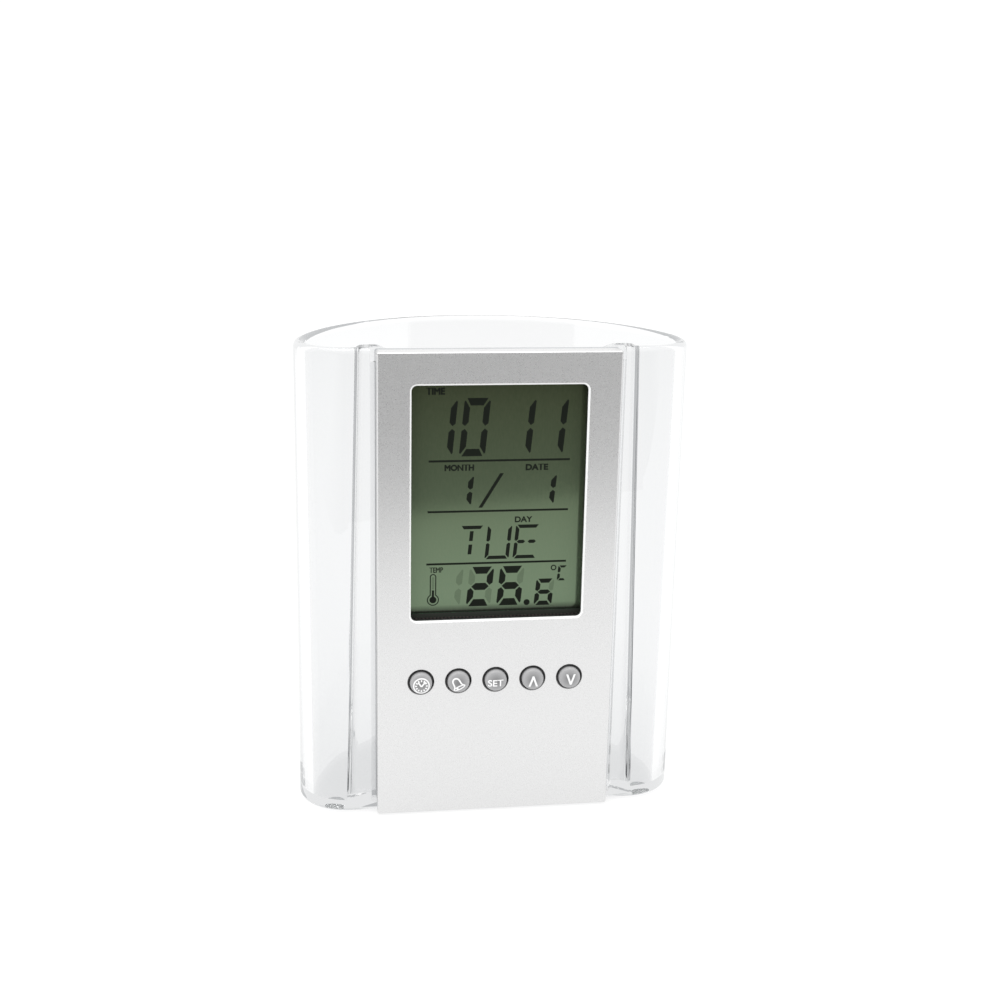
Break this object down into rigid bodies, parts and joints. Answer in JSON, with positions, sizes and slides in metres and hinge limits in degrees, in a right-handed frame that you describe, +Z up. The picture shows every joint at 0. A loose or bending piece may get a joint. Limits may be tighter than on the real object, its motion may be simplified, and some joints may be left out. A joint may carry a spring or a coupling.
{
  "type": "pen holder clock",
  "caption": "Clear D-shaped pen cup with a slide-out clock module: large display window, a row of round push buttons below it and a twist-off battery cap behind.",
  "frame": {"origin": "middle of the plan's bounding box, on the surface that the feet stand on", "axes": "+Z up along the cup's height, +Y to the curved back, the module's face looks along -Y, +X to the right for someone who faces the display"},
  "size_m": [0.107, 0.062, 0.1312],
  "materials": {
    "clear_plastic": "clear polished polystyrene",
    "soft_pads": "soft frosted pads",
    "silver_paint": "silver paint with a fine metallic grain",
    "grey_plastic": "fine moulded texture",
    "clear_lens": "clear polished acrylic",
    "display_glass": "polished glass with a faint green cast",
    "reflector_film": "satin grey-green film",
    "white_plastic": "moulded",
    "dark_rubber": "striped conductive rubber",
    "board_laminate": "green lacquered laminate",
    "screw_steel": "zinc plated",
    "black_resin": "black potting resin",
    "ceramic": "fired ceramic",
    "keypad_rubber": "moulded silicone",
    "button_plastic": "satin grey, printed white",
    "cell_steel": "nickel plated",
    "brass_plate": "rolled brass",
    "lead_cover": "thin plastic insulation"
  },
  "bodies": {
    "cup": {"cup": "clear_plastic", "feet": "soft_pads"},
    "module": {"front_cover": "silver_paint", "rear_housing": "grey_plastic", "window_lens": "clear_lens", "lcd_front_glass": "display_glass", "lcd_rear_glass": "display_glass", "lcd_reflector": "reflector_film", "lcd_frame": "white_plastic", "zebra_strip": "dark_rubber", "circuit_board": "board_laminate", "board_screws": "screw_steel", "chip_blob": "black_resin", "crystal": "screw_steel", "board_capacitors": "ceramic", "thermistor": "black_resin", "keypad_sheet": "keypad_rubber", "button_cell": "cell_steel", "negative_contact": "cell_steel", "positive_contact": "cell_steel", "buzzer_plate": "brass_plate", "buzzer_ceramic": "ceramic", "buzzer_leads": "lead_cover", "housing_screws": "screw_steel"},
    "mode_button": {"mode_button": "button_plastic"},
    "alarm_button": {"alarm_button": "button_plastic"},
    "set_button": {"set_button": "button_plastic"},
    "up_button": {"up_button": "button_plastic"},
    "down_button": {"down_button": "button_plastic"},
    "battery_cap": {"battery_cap": "grey_plastic"}
  },
  "joints": [
    {"name": "module_slide", "type": "slide", "parent": "cup", "child": "module", "axis": [0, 0, 1], "range_m": [0, 0.125]},
    {"name": "mode_button_press", "type": "slide", "parent": "module", "child": "mode_button", "axis": [0, 1, 0], "range_m": [0, 0.0006], "stiffness_N_per_m": 400, "springref_m": -0.0005},
    {"name": "alarm_button_press", "type": "slide", "parent": "module", "child": "alarm_button", "axis": [0, 1, 0], "range_m": [0, 0.0006], "stiffness_N_per_m": 400, "springref_m": -0.0005},
    {"name": "set_button_press", "type": "slide", "parent": "module", "child": "set_button", "axis": [0, 1, 0], "range_m": [0, 0.0006], "stiffness_N_per_m": 400, "springref_m": -0.0005},
    {"name": "up_button_press", "type": "slide", "parent": "module", "child": "up_button", "axis": [0, 1, 0], "range_m": [0, 0.0006], "stiffness_N_per_m": 400, "springref_m": -0.0005},
    {"name": "down_button_press", "type": "slide", "parent": "module", "child": "down_button", "axis": [0, 1, 0], "range_m": [0, 0.0006], "stiffness_N_per_m": 400, "springref_m": -0.0005},
    {"name": "battery_cap_turn", "type": "hinge", "parent": "module", "child": "battery_cap", "pos_m": [-0.014, -0.0238, 0.017], "axis": [0, 1, 0], "range_deg": [0, 45]}
  ]
}
